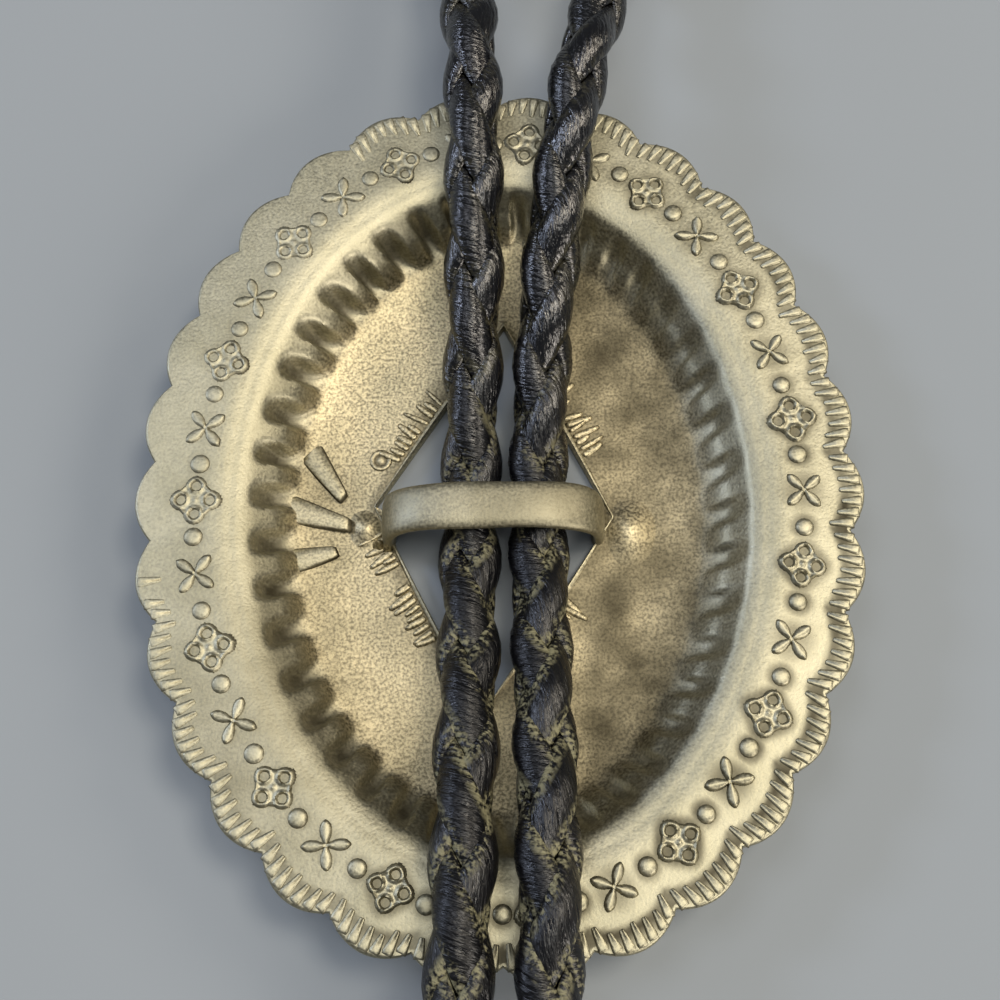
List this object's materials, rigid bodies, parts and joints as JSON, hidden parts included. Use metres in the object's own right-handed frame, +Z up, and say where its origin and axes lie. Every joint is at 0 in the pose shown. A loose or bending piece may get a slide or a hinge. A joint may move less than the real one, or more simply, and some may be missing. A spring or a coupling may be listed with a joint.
{
  "type": "bolo tie",
  "caption": "Bolo tie lying face down: a stamped oval metal slide with a scalloped rim, a dished fluted bowl and a soldered bridge strap, on a braided leather cord with plain metal tips.",
  "frame": {"origin": "middle of the whole tie's footprint, on the surface it lies on", "axes": "+Y from the tips and the slide towards the neck loop, +Z up, out of the back of the slide"},
  "size_m": [0.1632, 0.4614, 0.0122],
  "materials": {
    "stamped_silver": "tarnished nickel silver, satin, with brown tarnish in the recesses",
    "black_leather": "glossy black dyed lace, worn to khaki on its edges",
    "tip_metal": "satin plated metal"
  },
  "bodies": {
    "root": {"concho_slide": "stamped_silver", "cord_left": "black_leather", "cord_right": "black_leather", "tip_left": "tip_metal", "tip_right": "tip_metal"}
  },
  "joints": []
}
